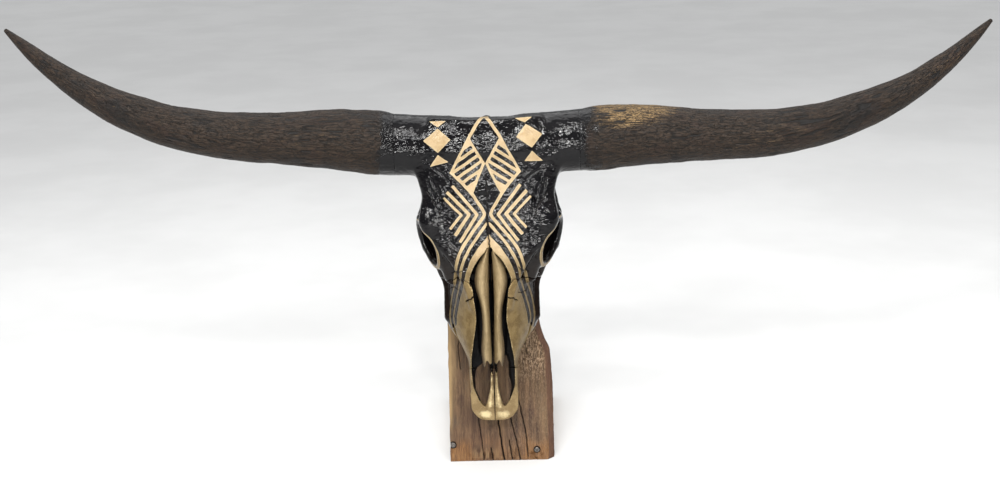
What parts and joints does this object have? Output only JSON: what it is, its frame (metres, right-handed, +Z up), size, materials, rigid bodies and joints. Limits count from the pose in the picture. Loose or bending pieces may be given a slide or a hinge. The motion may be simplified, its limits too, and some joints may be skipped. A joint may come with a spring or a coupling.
{
  "type": "painted longhorn steer skull on a plank",
  "caption": "Life-size longhorn steer skull with wide horns, painted black and gold in a plain geometric pattern, mounted on a leaning reclaimed-wood plank.",
  "frame": {"origin": "on the standing surface, under the middle of the whole piece's box", "axes": "+X along the horns towards the steer's left horn, +Y from the face towards the back of the plank, +Z up"},
  "size_m": [1.5518, 0.3412, 0.7598],
  "materials": {
    "painted_bone": "glossy black brush paint over bone, with matte gold shapes",
    "gold_paint": "matte gold paint over bone",
    "horn": "weathered dark brown horn, satin, cracked along its length",
    "reclaimed_wood": "old reddish-brown board, waxed, with checks and a worn edge",
    "stand_wood": "plain sawn board, waxed",
    "screw_steel": "dull zinc-plated steel"
  },
  "bodies": {
    "root": {"cranium": "painted_bone", "maxilla_left": "painted_bone", "maxilla_right": "painted_bone", "nasal_left": "gold_paint", "nasal_right": "gold_paint", "incisive_left": "gold_paint", "incisive_right": "gold_paint", "horn_left": "horn", "horn_right": "horn", "plank": "reclaimed_wood", "stand_base": "stand_wood", "screw_left": "screw_steel", "screw_right": "screw_steel", "fixing_bolt": "screw_steel"}
  },
  "joints": []
}
